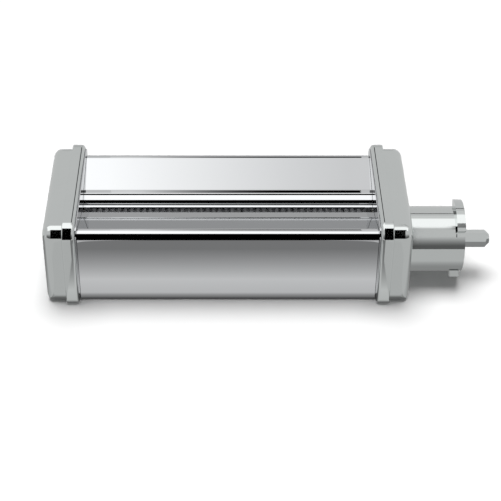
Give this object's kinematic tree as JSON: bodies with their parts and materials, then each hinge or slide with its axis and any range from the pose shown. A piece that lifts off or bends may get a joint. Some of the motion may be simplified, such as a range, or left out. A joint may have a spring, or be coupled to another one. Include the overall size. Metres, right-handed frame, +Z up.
{
  "type": "pasta cutter attachment",
  "caption": "Chromed stand-mixer attachment that cuts dough sheets into narrow noodles between two geared rollers, driven through a bayonet hub at one end.",
  "frame": {"origin": "middle of the bounding box's base, on the surface the end caps stand on", "axes": "+X along the rollers towards the drive hub, -Y is the front with the plain cover, +Z up"},
  "size_m": [0.2308, 0.083, 0.048],
  "materials": {
    "bright_chrome": "polished",
    "satin_chrome": "satin",
    "steel": "brushed",
    "hard_steel": "ground",
    "spring_steel": "oiled",
    "zinc_plate": "zinc plated",
    "nylon": "moulded",
    "bronze": "sintered"
  },
  "bodies": {
    "housing": {"left_end_cap": "satin_chrome", "right_end_cap": "satin_chrome", "left_side_plate": "steel", "right_side_plate": "steel", "front_cover": "bright_chrome", "rear_cover": "bright_chrome", "front_comb": "steel", "rear_comb": "steel", "comb_screws": "zinc_plate", "tie_rods": "steel", "tie_rod_washers": "zinc_plate", "tie_rod_nuts": "zinc_plate", "cover_screws": "zinc_plate", "left_front_bush": "nylon", "left_rear_bush": "nylon", "right_front_bush": "nylon", "right_rear_bush": "nylon", "front_thrust_washers": "nylon", "rear_thrust_washers": "nylon", "drive_hub": "satin_chrome", "hub_screws": "zinc_plate", "hub_inner_bush": "bronze", "hub_outer_bush": "bronze", "shaft_washer": "nylon", "left_cap_screws": "zinc_plate", "right_cap_screws": "zinc_plate"},
    "front_roller": {"front_cutter_roller": "hard_steel", "front_timing_gear": "hard_steel", "front_gear_key": "steel", "front_gear_clip": "spring_steel", "drive_shaft": "satin_chrome", "shaft_clip": "spring_steel"},
    "rear_roller": {"rear_cutter_roller": "hard_steel", "rear_timing_gear": "hard_steel", "rear_gear_key": "steel", "rear_gear_clip": "spring_steel", "rear_journal_clip": "spring_steel"}
  },
  "joints": [
    {"name": "front_roller_spin", "type": "hinge", "parent": "housing", "child": "front_roller", "pos_m": [0, -0.0115, 0.0207], "axis": [1, 0, 0], "continuous": true},
    {"name": "rear_roller_spin", "type": "hinge", "parent": "housing", "child": "rear_roller", "pos_m": [0, 0.0115, 0.0207], "axis": [1, 0, 0], "continuous": true}
  ],
  "couplings": [
    {"joint": "rear_roller_spin", "follows": "front_roller_spin", "ratio": -1}
  ]
}
